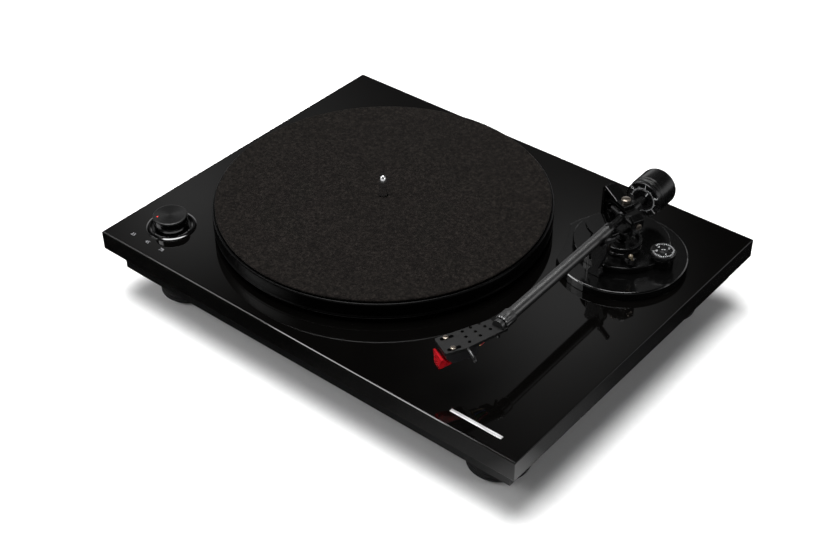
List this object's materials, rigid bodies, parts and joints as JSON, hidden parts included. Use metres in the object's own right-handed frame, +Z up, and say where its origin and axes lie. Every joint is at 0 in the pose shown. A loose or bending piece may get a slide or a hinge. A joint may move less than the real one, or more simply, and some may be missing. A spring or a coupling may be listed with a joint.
{
  "type": "turntable record player",
  "caption": "Belt-driven turntable: gloss black stepped plinth on rubber feet, felt-matted platter, rotary speed knob and a straight gimbal tonearm with counterweight.",
  "frame": {"origin": "on the supporting surface, under the middle of the plinth", "axes": "+X to the right along the front edge, +Y to the back, +Z up"},
  "size_m": [0.43, 0.333, 0.1282],
  "materials": {
    "gloss_lacquer": "high-gloss black lacquer on board",
    "satin_board": "satin black paint on board",
    "black_sheet": "fine textured black paint",
    "plain_screw": "bright nickel plate",
    "foot_rubber": "matt black ribbed rubber",
    "badge_metal": "satin metal",
    "bearing_brass": "turned brass",
    "ground_steel": "polished ground steel",
    "black_moulding": "matt black moulding",
    "platter_metal": "satin black turned metal with a bright edge line",
    "felt": "dark brown-grey wool felt",
    "belt_rubber": "smooth ground rubber",
    "motor_steel": "zinc-plated steel can",
    "knob_metal": "satin black anodised with fine knurling",
    "bezel_gloss": "gloss black ring with a bright edge",
    "arm_black": "satin black paint",
    "arm_satin": "satin black anodised",
    "tube_grey": "dark grey polished tube",
    "nickel": "bright nickel plate",
    "shell_grey": "dark grey fine-grained metal",
    "cartridge_grey": "smooth dark grey moulding",
    "stylus_red": "translucent red moulding",
    "lead_white": "white wire sleeve",
    "lead_blue": "blue wire sleeve",
    "lead_green": "green wire sleeve",
    "lead_red": "red wire sleeve",
    "weight_metal": "satin black paint",
    "socket_gold": "gold-plated contact",
    "board_green": "green circuit board"
  },
  "bodies": {
    "plinth": {"plinth_slab": "gloss_lacquer", "plinth_base": "satin_board", "bottom_cover": "black_sheet", "cover_screw_1": "plain_screw", "cover_screw_2": "plain_screw", "cover_screw_3": "plain_screw", "cover_screw_4": "plain_screw", "foot_front_left": "foot_rubber", "foot_front_right": "foot_rubber", "foot_rear_left": "foot_rubber", "foot_rear_right": "foot_rubber", "badge_bar": "badge_metal", "bearing_housing": "bearing_brass", "drive_belt": "belt_rubber", "motor": "motor_steel", "knob_bezel": "bezel_gloss", "speed_switch": "black_moulding", "arm_base": "arm_black", "arm_plate": "arm_black", "arm_column": "arm_satin", "arm_rest": "black_moulding", "gimbal_yoke": "arm_black", "top_pivot_screw": "nickel", "rear_panel": "black_sheet", "phono_socket_left": "socket_gold", "phono_socket_right": "socket_gold", "dc_inlet": "black_moulding", "main_board": "board_green"},
    "platter": {"spindle": "ground_steel", "sub_platter": "black_moulding", "platter": "platter_metal", "platter_mat": "felt"},
    "pulley": {"motor_pulley": "bearing_brass"},
    "knob": {"speed_knob": "knob_metal"},
    "dial": {"anti_skate_dial": "arm_satin"},
    "clip": {"arm_clip": "black_moulding"},
    "cue_lift": {"cue_bar": "arm_black"},
    "cue_handle": {"cue_lever": "arm_satin"},
    "gimbal": {"gimbal_ring": "arm_black", "side_pivot_screw_right": "nickel", "side_pivot_screw_left": "nickel"},
    "arm": {"arm_block": "arm_satin", "arm_tube": "tube_grey", "headshell": "shell_grey", "finger_lift": "nickel", "cartridge_body": "cartridge_grey", "stylus_holder": "stylus_red", "cartridge_screw_left": "nickel", "cartridge_screw_right": "nickel", "lead_white": "lead_white", "lead_blue": "lead_blue", "lead_green": "lead_green", "lead_red": "lead_red"},
    "collar": {"lock_collar": "tube_grey"},
    "bush": {"weight_bush": "foot_rubber"},
    "weight": {"counterweight": "weight_metal"},
    "force_ring": {"force_dial": "black_moulding"},
    "power": {"power_switch": "black_moulding"},
    "output": {"output_switch": "black_moulding"},
    "ground": {"ground_screw": "nickel"}
  },
  "joints": [
    {"name": "platter_spin", "type": "hinge", "parent": "plinth", "child": "platter", "pos_m": [-0.0455, -0.0005, 0.0662], "axis": [0, 0, -1], "continuous": true},
    {"name": "motor_spin", "type": "hinge", "parent": "plinth", "child": "pulley", "pos_m": [-0.13233, -0.0613, 0.0662], "axis": [0, 0, -1], "continuous": true},
    {"name": "speed_select", "type": "hinge", "parent": "plinth", "child": "knob", "pos_m": [-0.1746, -0.1245, 0.0662], "axis": [0, 0, 1], "range_deg": [0, 64]},
    {"name": "arm_swing", "type": "hinge", "parent": "plinth", "child": "gimbal", "pos_m": [0.144, 0.074, 0.1102], "axis": [0, 0, -1], "range_deg": [-2, 50]},
    {"name": "arm_tilt", "type": "hinge", "parent": "gimbal", "child": "arm", "pos_m": [0.144, 0.074, 0.1102], "axis": [-0.9397, 0.342, 0], "range_deg": [0, 6]},
    {"name": "collar_lock", "type": "hinge", "parent": "arm", "child": "collar", "pos_m": [0.14739, -0.08796, 0.1102], "axis": [0.0209, -0.9998, 0], "range_deg": [0, 90]},
    {"name": "weight_travel", "type": "slide", "parent": "arm", "child": "bush", "axis": [-0.0209, 0.9998, 0], "range_m": [-0.002, 0.002]},
    {"name": "weight_turn", "type": "hinge", "parent": "bush", "child": "weight", "pos_m": [0.14316, 0.11399, 0.1102], "axis": [-0.0209, 0.9998, 0], "range_deg": [-360, 360]},
    {"name": "force_scale", "type": "hinge", "parent": "weight", "child": "force_ring", "pos_m": [0.14339, 0.10299, 0.1102], "axis": [-0.0209, 0.9998, 0], "range_deg": [-180, 180]},
    {"name": "anti_skate", "type": "hinge", "parent": "plinth", "child": "dial", "pos_m": [0.1785, 0.0805, 0.0832], "axis": [0, 0, 1], "range_deg": [0, 270]},
    {"name": "clip_turn", "type": "hinge", "parent": "plinth", "child": "clip", "pos_m": [0.15287, 0.03718, 0.1107], "axis": [0.0209, -0.9998, 0], "range_deg": [0, 100]},
    {"name": "cue_turn", "type": "hinge", "parent": "plinth", "child": "cue_handle", "pos_m": [0.1655, 0.057, 0.0844], "axis": [1, 0, 0], "range_deg": [0, 70]},
    {"name": "cue_drop", "type": "slide", "parent": "plinth", "child": "cue_lift", "axis": [0, 0, -1], "range_m": [0, 0.005]},
    {"name": "power_rock", "type": "hinge", "parent": "plinth", "child": "power", "pos_m": [0.034, 0.1535, 0.03725], "axis": [0, 0, 1], "range_deg": [0, 8]},
    {"name": "output_slide", "type": "slide", "parent": "plinth", "child": "output", "axis": [1, 0, 0], "range_m": [0, 0.004]},
    {"name": "ground_turn", "type": "hinge", "parent": "plinth", "child": "ground", "pos_m": [0.108, 0.155, 0.03725], "axis": [0, -1, 0], "range_deg": [0, 360]}
  ],
  "couplings": [
    {"joint": "motor_spin", "follows": "platter_spin", "ratio": 10},
    {"joint": "weight_travel", "follows": "weight_turn", "m_per_rad": 0.00031831},
    {"joint": "cue_turn", "follows": "cue_drop", "rad_per_m": 244.35}
  ]
}
